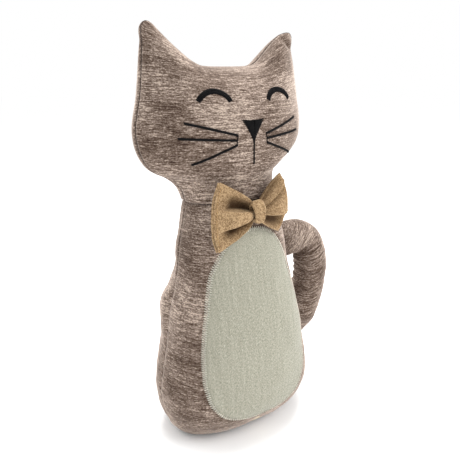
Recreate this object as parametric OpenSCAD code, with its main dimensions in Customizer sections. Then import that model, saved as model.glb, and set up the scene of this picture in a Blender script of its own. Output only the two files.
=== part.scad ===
// Stuffed fabric cat with a weighted base, a bow tie and a looped tail.
// It faces -Y and stands on z = 0. +X is the cat's left side.

/* [Body] */
// Height of the neck seam at the sides
neck_z = 233; // [200:1:260]
// Width of the neck, seam to seam
neck_w = 87; // [72:1:98]
// Depth of the neck, front to back
neck_d = 80; // [66:1:92]
// Height at which the body is widest
hip_z = 50; // [40:1:60]
// Widest width of the body
hip_w = 163; // [140:1:190]
// How far the belly stands in front of the side seams
belly_d = 63; // [52:1:74]
// How far the back stands behind the side seams
back_d = 60; // [50:1:72]
// Height of the shoulders
shoulder_z = 150; // [125:1:170]
// Width at the shoulders
shoulder_w = 122; // [105:1:136]
// Depth at the shoulders, front to back
shoulder_d = 106; // [88:1:118]

/* [Base] */
// Width of the flat base panel
base_w = 122; // [100:1:138]
// Depth of the flat base panel
base_d = 62; // [52:1:90]
// Height of the weight pouch above the base panel
pouch_h = 34; // [24:1:42]

/* [Head] */
// Height of the head's top between the ears
crown_z = 348; // [325:1:370]
// Height of the ear tips
ear_z = 381; // [365:1:420]
// Distance between the ear tips
ear_spread = 140; // [116:1:150]
// Width across the cheeks
cheek_w = 173; // [150:1:200]
// Height at which the cheeks are widest
cheek_z = 291; // [284:1:300]
// How far the face stands in front of the head seam
face_d = 49; // [40:1:58]
// How far the back of the head stands behind its seam
nape_d = 46; // [38:1:56]

/* [Cloth and seams] */
// Thickness of the knitted cover with its backing
cover_t = 1.6; // [1.2:0.1:2.4]
// Thickness of the base panel
base_t = 2; // [1.4:0.1:3]
// Thickness of the calico of the weight pouch
pouch_t = 1; // [0.8:0.1:1.6]
// Thickness of the belly patch
patch_t = 1; // [0.8:0.1:1.6]
// Opening between two panels, which the seam thread fills
seam_gap = 1.2; // [1:0.1:1.8]
// Diameter of the seam thread
thread_d = 0.8; // [0.6:0.1:0.9]

/* [Belly patch] */
// Height of the patch's lower edge
patch_low_z = 28; // [22:1:40]
// Height of the patch's upper edge
patch_top_z = 209; // [180:1:212]
// Height at which the patch is widest
patch_wide_z = 92; // [80:1:110]
// Width of the patch
patch_w = 110; // [90:1:124]

/* [Face] */
// Height of the eyes' lower ends
eye_z = 320; // [312:1:326]
// Distance between the middles of the eyes
eye_spread = 64; // [56:1:72]
// Width of an eye's arc
eye_w = 27; // [22:1:32]
// Height of an eye's arc
eye_h = 7.5; // [6:0.5:10]
// Width of the satin stitch of an eye
eye_stroke = 3.2; // [2.6:0.1:4]
// Height of the nose's upper edge
nose_z = 303; // [298:1:308]
// Width of the nose
nose_w = 20; // [16:1:24]
// Height of the nose
nose_h = 17; // [14:1:20]
// Length of the mouth line under the nose
mouth_l = 18; // [12:1:22]
// Width of the whiskers and the mouth line
whisker_stroke = 1.4; // [1:0.1:2]

/* [Bow tie] */
// Width of the bow
bow_w = 80; // [70:1:96]
// Height of the bow at its outer edges
bow_h = 56; // [46:1:64]
// Height of the bow's middle
bow_z = 226; // [222:1:230]
// Thickness of one layer of the bow's cloth
bow_t = 1.5; // [1.2:0.1:2]
// Width of the knot
knot_w = 17; // [14:1:21]
// Height of the knot
knot_h = 25; // [22:1:30]
// Depth of the knot, front to back
knot_d = 15; // [13:1:18]
// Diameter of the stitched shank that holds the bow
shank_d = 3; // [2.4:0.2:4]

/* [Tail] */
// Diameter of the stuffed tail
tail_d = 36; // [30:1:42]
// Height at which the tail leaves the body
tail_top_z = 172; // [166:1:178]
// Height at which the tail returns to the body
tail_low_z = 77; // [72:1:86]
// How far the tail's middle line reaches from the middle of the body
tail_reach = 103; // [101:1:116]

/* [Fits] */
// Clearance between a cover and what it holds
inner_gap = 0.4; // [0.3:0.1:0.8]
// Clearance between bodies that move on each other
joint_gap = 0.4; // [0.3:0.1:0.8]
// Radial clearance of the bow's shank in the knot
shank_gap = 0.05; // [0.02:0.01:0.1]

/* [Hidden] */

knit = [0.55, 0.46, 0.41];
linen = [0.78, 0.79, 0.72];
camel = [0.72, 0.58, 0.40];
black = [0.05, 0.05, 0.06];
white_fibre = [0.93, 0.93, 0.90];
calico = [0.86, 0.81, 0.71];
gravel = [0.60, 0.56, 0.50];

// Cross-sections: y = depth * (1 - |u|^power)^root, where u runs from seam to seam
body_power = 2.25;
body_root = 0.45;
head_power = 2;
head_root = 0.58;
// The head's surface falls to its top seam by this power of the height
crown_power = 6;
// Shares of the head's half width where an ear begins and where it is full height
ear_start = 0.3;
ear_full = 0.93;
// Height over which the neck's section turns into the head's
neck_blend = 30;
// Half of the gap between the front and the back half of a closed solid at its edge
edge_half = 0.3;
// The head turns on a ball of filling, centred under the neck seam
pivot_drop = 28;
pivot_z = neck_z - pivot_drop;
ball_r = sqrt(pow(neck_w / 2, 2) + pow(pivot_drop, 2));

body_rows = 16;
// Rows lie closer together near the base
row_power = 1.6;
cap_rows = 4;
head_rows = [0, 0.06, 0.11, 0.15, 0.19, 0.24, 0.32, 0.44, 0.56, 0.68, 0.79, 0.88, 0.94, 0.98, 1];
columns = 20;

body_z0 = base_t + inner_gap + thread_d;
pouch_z0 = base_t + thread_d + 2 * inner_gap;
// The pouch lies slack in the cover
pouch_slack = 3;
fill_inset = cover_t + inner_gap;

// ---- curves ----

function ease(t) = let (c = min(1, max(0, t))) c * c * (3 - 2 * c);

function slope(k, i) =
    i == 0 || i == len(k) - 1 ? 0
    : (k[i + 1][1] - k[i - 1][1]) / (k[i + 1][0] - k[i - 1][0]);

// Smooth value at s through [s, value] knots, level at both ends
function through(k, s) =
    let (i = max([for (j = [0 : len(k) - 2]) if (j == 0 || k[j][0] <= s) j]),
         h = k[i + 1][0] - k[i][0],
         t = min(1, max(0, (s - k[i][0]) / h)))
    k[i][1] * (2 * pow(t, 3) - 3 * pow(t, 2) + 1)
    + k[i + 1][1] * (3 * pow(t, 2) - 2 * pow(t, 3))
    + h * slope(k, i) * (pow(t, 3) - 2 * pow(t, 2) + t)
    + h * slope(k, i + 1) * (pow(t, 3) - pow(t, 2));

// The lower body rounds out from the base panel as a quarter ellipse
function round_out(low, high, z) =
    low + (high - low) * sqrt(max(0, 1 - pow(1 - max(0, z - body_z0) / (hip_z - body_z0), 2)));

function body_half_w(z) =
    z < hip_z ? round_out(base_w / 2, hip_w / 2, z)
    : through([[hip_z, hip_w / 2], [shoulder_z, shoulder_w / 2], [neck_z, neck_w / 2]], z);

function body_depth(z, side) =
    let (hip = side < 0 ? belly_d : back_d)
    z < hip_z ? round_out(base_d / 2, hip, z)
    : through([[hip_z, hip], [shoulder_z, shoulder_d / 2], [neck_z, neck_d / 2]], z);

function head_half_w(z) =
    let (c = cheek_w / 2, n = neck_w / 2, rise = cheek_z - neck_z)
    through([[neck_z, n], [neck_z + 0.22 * rise, n + 0.10 * (c - n)],
             [neck_z + 0.42 * rise, n + 0.52 * (c - n)], [neck_z + 0.62 * rise, n + 0.90 * (c - n)],
             [cheek_z, c], [crown_z - 6, ear_spread / 2 + 7.5], [ear_z - 12, ear_spread / 2 + 4.5],
             [ear_z, ear_spread / 2 - 1]], z);

function head_depth(z, side) =
    let (mid = side < 0 ? face_d : nape_d)
    through([[neck_z, neck_d / 2], [cheek_z, mid], [ear_z, mid]], z);

function section(u, z) =
    let (h = ease((z - neck_z) / neck_blend),
         p = body_power + (head_power - body_power) * h,
         q = body_root + (head_root - body_root) * h)
    pow(max(0, 1 - pow(min(1, abs(u)), p)), q);

function crown(u) =
    crown_z + (ear_z - crown_z) * min(1, pow(max(0, (abs(u) - ear_start) / (ear_full - ear_start)), 1.3));

// Columns lie closer together near the seams
function column_u(i) = -cos(180 * i / columns);

// ---- surfaces: side is -1 at the front and 1 at the back, inset goes inwards ----

// Height of the ball that separates body and head, above a point of the neck
function ball_z(x, y, r) = pivot_z + sqrt(max(0, pow(r, 2) - pow(x, 2) - pow(y, 2)));

function body_point(u, z, side, inset, edge) =
    let (w = body_half_w(z) - inset, d = body_depth(z, side) - inset)
    [u * w, side * (edge + d * section(u, z)), z];

function neck_rim(u, side, inset, edge, r) =
    let (w = neck_w / 2 - inset, d = neck_d / 2 - inset)
    ball_z(u * w, edge + d * section(u, neck_z), r);

function body_grid(side, inset, edge, z0, rows) =
    [for (j = [0 : rows]) [for (i = [0 : columns])
        let (u = column_u(i), top = neck_rim(u, side, inset, edge, ball_r),
             z = z0 + (top - z0) * pow(j / rows, row_power))
        [body_point(u, min(z, neck_z), side, inset, edge).x,
         body_point(u, min(z, neck_z), side, inset, edge).y, z]]];

function head_point(u, v, side, inset, edge) =
    let (low = neck_rim(u, side, inset, edge, ball_r + joint_gap),
         top = crown(u) - inset * (1 + 1.6 * pow(u, 2)),
         z = low + v * (top - low),
         w = head_half_w(z) - inset,
         d = (head_depth(z, side) - inset) * sqrt(max(0, 1 - pow(v, crown_power))))
    [u * w, side * (edge + d * section(u, z)), z];

function head_grid(side, inset, edge) =
    [for (v = head_rows) [for (i = [0 : columns]) head_point(column_u(i), v, side, inset, edge)]];

// Rows that close a neck over the ball, from the middle plane out to the rim
function cap_grid(rim, side, edge, r) =
    [for (k = [0 : cap_rows - 1]) [for (p = rim)
        let (y = side * edge + (p.y - side * edge) * k / cap_rows) [p.x, y, ball_z(p.x, y, r)]]];

// Depth of the outer surfaces at a place on the front
function belly_y(x, z) = -(seam_gap / 2 + body_depth(z, -1) * section(x / body_half_w(z), z));

function face_y(x, z) =
    let (u = x / head_half_w(z), low = neck_rim(u, -1, 0, seam_gap / 2, ball_r + joint_gap),
         v = (z - low) / (crown(u) - low))
    -(seam_gap / 2 + head_depth(z, -1) * sqrt(max(0, 1 - pow(v, crown_power))) * section(u, z));

// ---- solids from grids ----

// Two grids of the same size, joined along their four edges
module between(a, b) {
    nr = len(a);
    nc = len(a[0]);
    flip = function (q) [q[0], q[2], q[1]];
    // The left and right halves are split the opposite way, so that no corner folds flat
    quad = function (p, q, r, s, turned = false)
        turned ? [[p, q, s], [q, r, s]] : [[p, q, r], [p, r, s]];
    at = function (g, j, i) g * nr * nc + j * nc + i;
    skin_a = [for (j = [0 : nr - 2]) for (i = [0 : nc - 2])
        each quad(at(0, j, i), at(0, j + 1, i), at(0, j + 1, i + 1), at(0, j, i + 1), i < nc / 2 - 1)];
    skin_b = [for (j = [0 : nr - 2]) for (i = [0 : nc - 2])
        each quad(at(1, j, i), at(1, j, i + 1), at(1, j + 1, i + 1), at(1, j + 1, i), i < nc / 2 - 1)];
    ends = [for (i = [0 : nc - 2]) each concat(
        quad(at(0, 0, i), at(0, 0, i + 1), at(1, 0, i + 1), at(1, 0, i)),
        quad(at(0, nr - 1, i), at(1, nr - 1, i), at(1, nr - 1, i + 1), at(0, nr - 1, i + 1)))];
    sides = [for (j = [0 : nr - 2]) each concat(
        quad(at(0, j, 0), at(1, j, 0), at(1, j + 1, 0), at(0, j + 1, 0)),
        quad(at(0, j, nc - 1), at(0, j + 1, nc - 1), at(1, j + 1, nc - 1), at(1, j, nc - 1)))];
    polyhedron(concat([for (r = a) each r], [for (r = b) each r]),
               concat(skin_a, skin_b, ends, sides), convexity = 6);
}

function unit(v) = v / norm(v);

// Round tube along points; ring_n turns with the path and has no twist about "up"
module tube(path, r, sides, up) {
    n = len(path);
    tangent = [for (i = [0 : n - 1]) unit(path[min(n - 1, i + 1)] - path[max(0, i - 1)])];
    pts = [for (i = [0 : n - 1])
        let (b = unit(cross(tangent[i], up)), c = cross(b, tangent[i]))
        for (k = [0 : sides - 1])
            path[i] + r * (cos(360 * k / sides) * b + sin(360 * k / sides) * c)];
    walls = [for (i = [0 : n - 2]) for (k = [0 : sides - 1])
        let (m = (k + 1) % sides, p = i * sides)
        each [[p + k, p + sides + k, p + sides + m], [p + k, p + sides + m, p + m]]];
    polyhedron(pts, concat(walls, [[for (k = [0 : sides - 1]) k]],
                           [[for (k = [0 : sides - 1]) (n - 1) * sides + sides - 1 - k]]),
               convexity = 6);
}

// A closed ring of thread
module ring_tube(path, r, sides, up) {
    n = len(path);
    pts = [for (i = [0 : n - 1])
        let (t = unit(path[(i + 1) % n] - path[(i + n - 1) % n]),
             b = unit(cross(t, up)), c = cross(b, t))
        for (k = [0 : sides - 1])
            path[i] + r * (cos(360 * k / sides) * b + sin(360 * k / sides) * c)];
    polyhedron(pts, [for (i = [0 : n - 1]) for (k = [0 : sides - 1])
        let (m = (k + 1) % sides, p = i * sides, q = ((i + 1) % n) * sides)
        each [[p + k, q + k, q + m], [p + k, q + m, p + m]]], convexity = 6);
}

// ---- head ----

module head_panel(side) {
    between(head_grid(side, side < 0 ? 0 : cover_t, seam_gap / 2),
            head_grid(side, side < 0 ? cover_t : 0, seam_gap / 2));
}

module face_panel() {
    color(knit) head_panel(-1);
}

module head_back_panel() {
    color(knit) head_panel(1);
}

module head_filling() {
    front = head_grid(-1, fill_inset, edge_half);
    back = head_grid(1, fill_inset, edge_half);
    r = ball_r + joint_gap;
    color(white_fibre)
        between(concat(cap_grid(front[0], -1, edge_half, r), front),
                concat(cap_grid(back[0], 1, edge_half, r), back));
}

module head_seam_thread() {
    inset = thread_d;
    last = len(head_rows) - 1;
    function edge(i, j) = let (p = head_point(i, head_rows[j], -1, inset, 0)) [p.x, 0, p.z];
    color(knit)
        tube(concat([for (j = [0 : last]) edge(-1, j)],
                    [for (i = [1 : columns - 1])
                        let (p = head_point(column_u(i), 1, -1, inset, 0)) [p.x, 0, p.z]],
                    [for (j = [last : -1 : 0]) edge(1, j)]),
             thread_d / 2, 6, [0, 1, 0]);
}

// ---- embroidery: thread laid on the face ----

module laid_line(points, stroke) {
    lift = inner_gap + stroke / 2;
    tube([for (p = points) [p.x, face_y(p.x, p.y) - lift, p.y]], stroke / 2, 6, [0, 1, 0]);
}

// Right is the cat's right side, at -X
module eye(side) {
    color(black)
        laid_line([for (a = [10 : 10 : 170])
            [side * (eye_spread / 2 + eye_w / 2 * cos(a)), eye_z - 1 + eye_h * sin(a)]], eye_stroke);
}

module right_eye() {
    eye(-1);
}

module left_eye() {
    eye(1);
}

module nose_and_mouth() {
    t = whisker_stroke / 2;
    rows = 6;
    function edge_x(s) = nose_w / 2 * pow(1 - s, 1.15) + t;
    function face(lift) = [for (j = [0 : rows]) let (s = j / rows, z = nose_z - s * nose_h)
        [for (i = [-3 : 3]) let (x = i / 3 * edge_x(s)) [x, face_y(x, z) - lift, z]]];
    color(black) {
        between(face(inner_gap + whisker_stroke), face(inner_gap));
        laid_line([for (k = [0 : 4]) [0, nose_z - nose_h - 0.5 - k / 4 * (mouth_l - 0.5)]],
                  whisker_stroke);
    }
}

// Each whisker runs from beside the nose to the cheek
whisker_from = [[14.5, 292], [15, 288], [15, 284]];
whisker_to = [[55, 303], [60, 291], [52, 270]];

module whiskers(side) {
    color(black)
        for (k = [0 : 2])
            laid_line([for (s = [0 : 0.125 : 1])
                let (p = whisker_from[k] + s * (whisker_to[k] - whisker_from[k])) [side * p.x, p.y]],
                whisker_stroke);
}

module right_whiskers() {
    whiskers(-1);
}

module left_whiskers() {
    whiskers(1);
}

// ---- body ----

module body_panel(side) {
    between(body_grid(side, side < 0 ? 0 : cover_t, seam_gap / 2, body_z0, body_rows),
            body_grid(side, side < 0 ? cover_t : 0, seam_gap / 2, body_z0, body_rows));
}

module body_front_panel() {
    color(knit) body_panel(-1);
}

module body_back_panel() {
    color(knit) body_panel(1);
}

module body_filling() {
    z0 = pouch_z0 + pouch_h + inner_gap;
    front = body_grid(-1, fill_inset, edge_half, z0, body_rows - 3);
    back = body_grid(1, fill_inset, edge_half, z0, body_rows - 3);
    function capped(g, side) = concat(g, [for (k = [cap_rows - 1 : -1 : 0])
        cap_grid(g[len(g) - 1], side, edge_half, ball_r)[k]]);
    color(white_fibre) between(capped(front, -1), capped(back, 1));
}

module body_side_seam_threads() {
    color(knit)
        for (side = [-1, 1])
            tube([for (j = [0 : 20]) let (z = body_z0 + (neck_z - body_z0) * pow(j / 20, 1.5))
                [side * (body_half_w(z) - thread_d), 0, z]], thread_d / 2, 6, [0, 1, 0]);
}

// It lies on the body just under the neck seam, inside the ball that the head turns on
module neck_seam_thread() {
    lift = thread_d / 2 + 1.5 * inner_gap;
    drop = 3;
    color(knit)
        ring_tube([for (i = [0 : 59])
            let (a = 360 * i / 60, u = cos(a), s = sin(a) < 0 ? -1 : 1,
                 w = neck_w / 2 + lift, d = neck_d / 2 + lift + seam_gap / 2)
            [u * w, s * d * section(u, neck_z), neck_rim(u, s, 0, seam_gap / 2, ball_r) - drop]],
            thread_d / 2, 6, [0, 0, 1]);
}

// ---- base ----

function oval(w, d) = [for (i = [0 : 47]) let (a = 360 * i / 48, u = cos(a), s = sin(a) < 0 ? -1 : 1)
    [u * w / 2, s * d / 2 * section(u, 0)]];

module base_panel() {
    color(knit) linear_extrude(base_t) polygon(oval(base_w, base_d));
}

module base_seam_thread() {
    r = thread_d / 2;
    color(knit)
        ring_tube([for (p = oval(base_w - 2 * thread_d, base_d - 2 * thread_d))
            [p.x, p.y, base_t + inner_gap / 2 + r]], r, 6, [0, 0, 1]);
}

// The pouch fills the rounded bottom of the cover
function pouch_grid(side, inset, z0, z1) =
    [for (j = [0 : 7]) let (z = z0 + (z1 - z0) * pow(j / 7, 1.6)) [for (i = [0 : columns])
        body_point(column_u(i), z, side, fill_inset + pouch_slack + inset, edge_half)]];

module pouch_solid(inset, z0, z1) {
    between(pouch_grid(-1, inset, z0, z1), pouch_grid(1, inset, z0, z1));
}

module weight_pouch() {
    color(calico) difference() {
        pouch_solid(0, pouch_z0, pouch_z0 + pouch_h);
        pouch_solid(pouch_t, pouch_z0 + pouch_t, pouch_z0 + pouch_h - pouch_t);
    }
}

module weight_granules() {
    inset = pouch_t + inner_gap;
    color(gravel) pouch_solid(inset, pouch_z0 + inset, pouch_z0 + pouch_h - inset);
}

// ---- belly patch ----

// Half width of the patch at an angle from its widest place, and its height there
function patch_x(a) = patch_w / 2 * cos(a);
function patch_z(a) =
    patch_wide_z + sin(a) * (a < 0 ? patch_wide_z - patch_low_z : patch_top_z - patch_wide_z);

module belly_patch() {
    function layer(lift) = [for (j = [0 : 14]) let (a = -88 + 176 * j / 14)
        [for (i = [0 : 12]) let (x = patch_x(a) * column_u(i * columns / 12), z = patch_z(a))
            [x, belly_y(x, z) - lift, z]]];
    color(linen) between(layer(inner_gap + patch_t), layer(inner_gap));
}

module belly_patch_stitching() {
    out = 1 + thread_d / 2;
    color(linen)
        ring_tube([for (i = [0 : 59]) let (a = 360 * i / 60, b = asin(sin(a)),
            x = (cos(a) < 0 ? -1 : 1) * patch_x(b) + out * cos(a), z = patch_z(b) + out * sin(a))
            [x, belly_y(x, z) - inner_gap - thread_d / 2, z]], thread_d / 2, 6, [0, 1, 0]);
}

// ---- bow tie ----

// The knot stands off the neck so that the chin clears it when the head nods
bow_back_y = -(neck_d / 2 + seam_gap / 2 + 4.4);
knot_wall = 2.6;
// Half height of the bow's waist inside the knot
waist_h = (knot_h / 2 - knot_wall) / 2;
bow_front_y = bow_back_y - knot_wall - inner_gap;
waist_d = knot_d - 2 * knot_wall - 2 * inner_gap;

// 0 at the knot and 1 at the outer edge
mouth_w = knot_w + 4;
function bow_out(u) = max(0, (abs(u) * bow_w - mouth_w) / (bow_w - mouth_w));
function bow_half_h(u) = waist_h + (bow_h / 2 - waist_h) * pow(bow_out(u), 0.85);

// Share of the layers' distance at the knot that is left at the outer edge
edge_share = 0.28;
// How far the ridge between the pleats stands forward
ridge_d = 4;

// lift runs from 0 at the back layer to 1 at the front layer
function bow_point(u, v, lift) =
    let (out = bow_out(u), ridge = ridge_d * (1 - pow(v, 2)) * sin(180 * pow(out, 0.7)))
    [u * (bow_w / 2 - 2.5 * pow(v * out, 2)),
     bow_front_y - lift * (waist_d - bow_t) * (1 - (1 - edge_share) * out) - ridge,
     bow_z + v * bow_half_h(u)];

function bow_layer(lift, back) =
    [for (i = [-12 : 12]) [for (j = [-5 : 5])
        let (p = bow_point(i / 12, j / 5, lift)) [p.x, p.y - back, p.z]]];

module bow_front_layer() {
    color(camel) between(bow_layer(1, 0), bow_layer(1, bow_t));
}

module bow_back_layer() {
    color(camel) between(bow_layer(0, 0), bow_layer(0, bow_t));
}

// Rows of stitches that hold the two layers together along the outer edges
module bow_topstitching() {
    from_edge = 3;
    color(camel)
        for (side = [-1, 1])
            tube([for (v = [-0.9 : 0.15 : 0.9])
                let (p = bow_point(side * (1 - 2 * from_edge / bow_w), v, 1))
                [p.x, p.y - bow_t - inner_gap - thread_d / 2, p.z]], thread_d / 2, 6, [0, 1, 0]);
}

function knot_outline(d, h) = [for (i = [0 : 39]) let (a = 360 * i / 40)
    [sign(cos(a)) * pow(abs(cos(a)), 0.7) * d / 2, sign(sin(a)) * pow(abs(sin(a)), 0.7) * h / 2]];

module bow_knot() {
    color(camel)
        difference() {
            translate([-knot_w / 2, bow_back_y - knot_d / 2, bow_z]) rotate([90, 0, 90])
                linear_extrude(knot_w) difference() {
                    polygon(knot_outline(knot_d, knot_h));
                    polygon(knot_outline(knot_d - 2 * knot_wall, knot_h - 2 * knot_wall));
                }
            translate([0, bow_back_y + 1, bow_z]) rotate([90, 0, 0])
                cylinder(h = knot_wall + 1.5, d = shank_d + 2 * shank_gap, $fn = 32);
        }
}

// Wound thread between the neck and the knot, the pin that the bow turns on
module bow_shank() {
    foot = belly_y(0, bow_z) - 2 * inner_gap;
    color(camel) translate([0, foot, bow_z]) rotate([90, 0, 0])
        cylinder(h = foot - bow_back_y + knot_wall - 0.3, d = shank_d, $fn = 32);
}

// ---- tail ----

// Middle line of the loop, from the upper root to the lower one
root_gap = seam_gap + 1;

// How the body's side seam leans at a height
function seam_lean(z) = (body_half_w(z + 10) - body_half_w(z - 10)) / 20;

// The tail leaves the seam at a right angle to it, and comes back to it from above
function root_point(z, out) = [body_half_w(z) + root_gap + out, z - seam_lean(z) * out];

tail_route = [
    root_point(tail_top_z, 0),
    root_point(tail_top_z, 12),
    [tail_reach - 16, tail_top_z + 1],
    [tail_reach - 3, tail_top_z - 18],
    [tail_reach, tail_top_z - 40],
    [tail_reach - 3.5, (tail_top_z + tail_low_z) / 2 - 9],
    [tail_reach - 8, tail_low_z + 20],
    root_point(tail_low_z, 9) + [0, 6],
    root_point(tail_low_z, 0)];
tail_steps = 40;

function route_slope(i) =
    let (n = len(tail_route) - 1)
    i == 0 ? tail_route[1] - tail_route[0]
    : i == n ? tail_route[n] - tail_route[n - 1]
    : (tail_route[i + 1] - tail_route[i - 1]) / 2;

function route(s) =
    let (n = len(tail_route) - 1, i = min(n - 1, floor(s * n)), t = s * n - i)
    tail_route[i] * (2 * pow(t, 3) - 3 * pow(t, 2) + 1)
    + tail_route[i + 1] * (3 * pow(t, 2) - 2 * pow(t, 3))
    + route_slope(i) * (pow(t, 3) - 2 * pow(t, 2) + t)
    + route_slope(i + 1) * (pow(t, 3) - pow(t, 2));

// The stuffed tube is round, and is pressed flat where it is sewn into the side seam
root_half_t = 2.4;
root_half_h = 15;

// The way the tube faces: along its middle line, but square to the seam at its roots
function tail_way(s) =
    let (along = unit(route(min(1, s + 0.08)) - route(max(0, s - 0.08))),
         z = s < 0.5 ? tail_top_z : tail_low_z,
         square = unit(root_point(z, 1) - root_point(z, 0)) * (s < 0.5 ? 1 : -1),
         w = ease(min(s, 1 - s) / 0.46))
    unit(w * along + (1 - w) * square);

function tail_ring(s, inset, sides) =
    let (p = route(s), q = tail_way(s),
         fullness = pow(ease(min(s, 1 - s) / 0.17), 0.7),
         ry = root_half_t + (tail_d / 2 - root_half_t) * fullness - inset * (0.75 + 0.25 * fullness),
         rn = root_half_h + (tail_d / 2 - root_half_h) * fullness - inset)
    [for (k = [0 : sides - 1]) let (a = 360 * k / sides)
        [p.x + rn * cos(a) * -q.y, ry * sin(a), p.y + rn * cos(a) * q.x]];

module tail_cover() {
    sides = 18;
    n = tail_steps;
    outer = [for (j = [0 : n]) each tail_ring(j / n, 0, sides)];
    inner = [for (j = [0 : n]) each tail_ring(j / n, cover_t, sides)];
    m = len(outer);
    walls = [for (j = [0 : n - 1]) for (k = [0 : sides - 1])
        let (l = (k + 1) % sides, p = j * sides, q = p + sides)
        each [[p + k, q + l, q + k], [p + k, p + l, q + l],
              [m + p + k, m + q + k, m + q + l], [m + p + k, m + q + l, m + p + l]]];
    rims = [for (k = [0 : sides - 1]) let (l = (k + 1) % sides, e = n * sides)
        each [[k, m + l, l], [k, m + k, m + l],
              [e + k, e + l, m + e + l], [e + k, m + e + l, m + e + k]]];
    color(knit) polyhedron(concat(outer, inner), concat(walls, rims), convexity = 8);
}

module tail_filling() {
    sides = 18;
    // The stuffing stops two steps short of each end, where the tube is pressed flat
    n = tail_steps - 4;
    rings = [for (j = [0 : n]) tail_ring((j + 2) / tail_steps, fill_inset, sides)];
    color(white_fibre)
        polyhedron([for (r = rings) each r],
            concat([for (j = [0 : n - 1]) for (k = [0 : sides - 1])
                let (l = (k + 1) % sides, p = j * sides, q = p + sides)
                each [[p + k, q + l, q + k], [p + k, p + l, q + l]]],
                [[for (k = [0 : sides - 1]) sides - 1 - k]],
                [[for (k = [0 : sides - 1]) n * sides + k]]), convexity = 8);
}

// The tube's long seam lies along its back
module tail_seam_thread() {
    color(knit)
        tube([for (j = [4 : tail_steps - 4]) let (p = tail_ring(j / tail_steps, 0, 4)[1])
            [p.x, p.y + inner_gap + thread_d / 2, p.z]], thread_d / 2, 6, [0, 1, 0]);
}

face_panel();
head_back_panel();
head_filling();
head_seam_thread();
right_eye();
left_eye();
nose_and_mouth();
right_whiskers();
left_whiskers();
body_front_panel();
body_back_panel();
body_filling();
body_side_seam_threads();
neck_seam_thread();
base_panel();
base_seam_thread();
weight_pouch();
weight_granules();
belly_patch();
belly_patch_stitching();
bow_front_layer();
bow_back_layer();
bow_topstitching();
bow_knot();
bow_shank();
tail_cover();
tail_filling();
tail_seam_thread();
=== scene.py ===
"""Looks of a stuffed fabric cat: a jersey cover in panels, a linen belly patch, a stitched face,
a suedette bow tie and a stuffed tail sewn into a loop."""
import math
from functools import lru_cache

import bmesh
import bpy
import numpy as np
from bpy.props import FloatProperty, PointerProperty, StringProperty
from bpy.types import Operator, Panel, PropertyGroup
from mathutils import Matrix, Vector, noise
from mathutils.bvhtree import BVHTree


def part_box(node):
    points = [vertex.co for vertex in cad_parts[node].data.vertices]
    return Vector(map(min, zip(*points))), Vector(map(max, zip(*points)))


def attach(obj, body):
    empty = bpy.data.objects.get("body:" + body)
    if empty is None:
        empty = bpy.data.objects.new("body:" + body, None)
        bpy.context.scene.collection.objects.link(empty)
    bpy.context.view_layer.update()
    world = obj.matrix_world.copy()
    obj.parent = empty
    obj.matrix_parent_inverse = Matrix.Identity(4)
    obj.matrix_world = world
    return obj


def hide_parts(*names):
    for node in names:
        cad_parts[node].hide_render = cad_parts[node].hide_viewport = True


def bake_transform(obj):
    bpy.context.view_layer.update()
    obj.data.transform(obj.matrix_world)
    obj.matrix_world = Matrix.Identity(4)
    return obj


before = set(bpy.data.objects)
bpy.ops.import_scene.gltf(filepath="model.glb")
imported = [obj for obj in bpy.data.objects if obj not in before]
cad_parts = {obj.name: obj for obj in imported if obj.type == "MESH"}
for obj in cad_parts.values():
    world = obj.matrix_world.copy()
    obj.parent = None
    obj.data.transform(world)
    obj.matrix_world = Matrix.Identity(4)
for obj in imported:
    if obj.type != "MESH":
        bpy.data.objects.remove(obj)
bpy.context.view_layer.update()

bl_info = {
    "name": "Stuffed cat",
    "version": (1, 0, 0),
    "blender": (4, 5, 0),
    "location": "View3D > Sidebar > Stuffed cat",
    "description": "Builds the cloth, stitching and stage of a stuffed cat on its CAD frame",
    "category": "Object",
}

MM = 0.001
# Two halves of a filling are joined where their edges are this close, in metres
JOIN_WITHIN = 0.0011

# Thread radii and stitch pitches, in millimetres
HEAD_THREAD, SIDE_THREAD, NECK_THREAD, RIM_THREAD, TOP_THREAD = 0.46, 0.22, 0.45, 0.4, 0.32
ZIGZAG_THREAD, SATIN_THREAD = 0.22, 0.34
SEAM_PITCH, TAIL_PITCH, SATIN_PITCH = 2.6, 2.8, 0.42
# How far the zigzag reaches past the patch's edge, and inside it
ZIGZAG_OUT, ZIGZAG_IN = 2.5, -0.9

# Thicknesses of the cloths, and how deep the fillings lie under their covers, in millimetres
LINEN, SUEDETTE, KNOT_CLOTH = 0.8, 0.9, 1.2
HEAD_FILL, BODY_FILL, TAIL_FILL = 2.6, 2.4, 2.3


# ---------------------------------------------------------------- sizes and colours

def length(name, about, value):
    return FloatProperty(name=name, description=about, default=value, unit="LENGTH")


def colour(name, about, value):
    return StringProperty(name=name, description=about, default=value)


class CatSizes(PropertyGroup):
    patch_low: length("Patch low", "Lower edge of the belly patch", 0.028)
    patch_top: length("Patch top", "Upper edge of the belly patch", 0.209)
    cloth: length("Jersey thickness", "Thickness of the jersey cover", 0.0014)
    groove: length("Side seam groove", "How far the side seams draw in", 0.0007)
    tail: length("Tail", "Diameter of the stuffed tail", 0.036)
    bow_width: length("Bow width", "Width of the bow tie", 0.081)
    bow_height: length("Bow height", "Height of the bow's outer edges", 0.057)
    zigzag: length("Zigzag pitch", "Pitch of the patch's zigzag stitch", 0.0021)


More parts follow.
